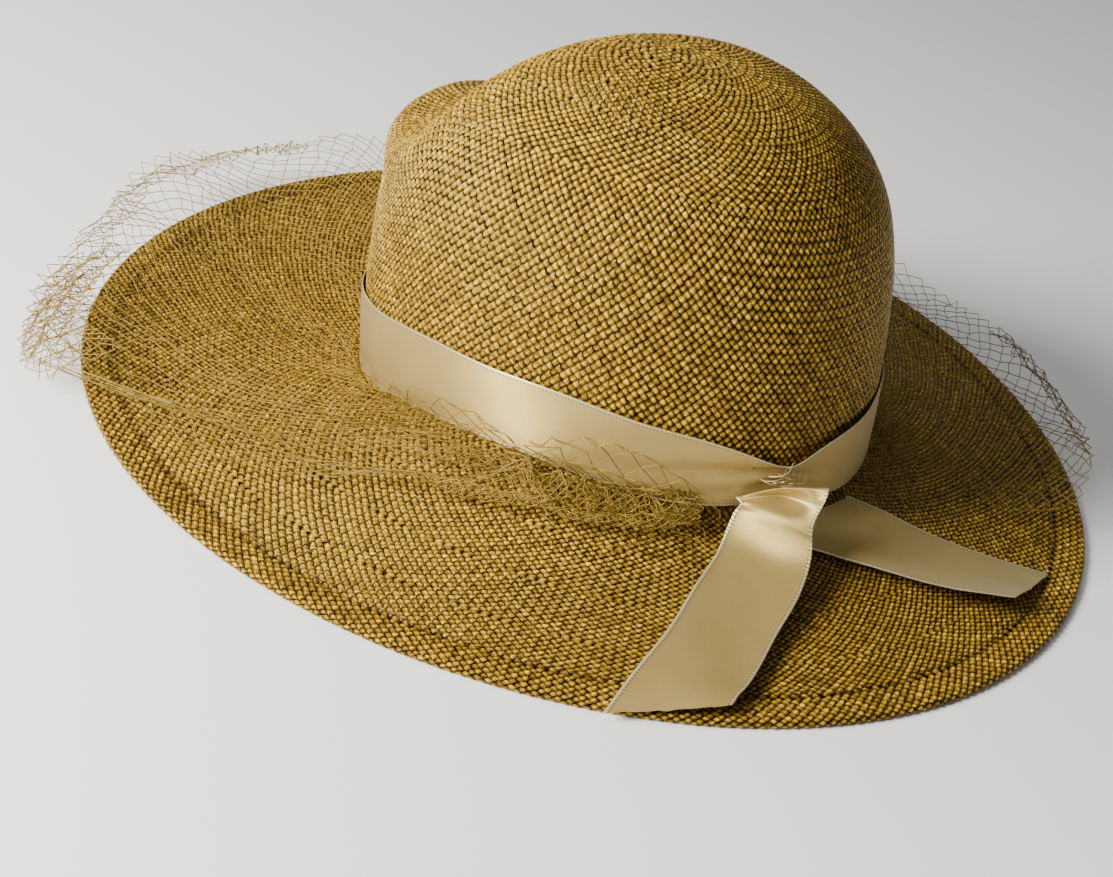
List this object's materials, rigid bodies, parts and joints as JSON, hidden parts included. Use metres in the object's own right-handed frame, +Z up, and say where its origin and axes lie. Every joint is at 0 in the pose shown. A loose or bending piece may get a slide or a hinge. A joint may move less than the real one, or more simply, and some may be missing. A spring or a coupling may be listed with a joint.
{
  "type": "wide brim straw hat",
  "caption": "Woven straw hat with a wide brim, a dented crown, a satin ribbon band with loose ends and a net veil.",
  "frame": {"origin": "on the surface the hat stands on, under the middle of its bounding box", "axes": "+Z up through the crown, +Y towards the back where the ribbon is gathered, +X to the right"},
  "size_m": [0.383, 0.4022, 0.1488],
  "materials": {
    "woven_straw": "satin",
    "satin_ribbon": "satin",
    "veil_net": "matte"
  },
  "bodies": {
    "root": {"straw_hood": "woven_straw", "ribbon_band": "satin_ribbon", "ribbon_end_front": "satin_ribbon", "ribbon_end_side": "satin_ribbon", "veil_net": "veil_net"}
  },
  "joints": []
}
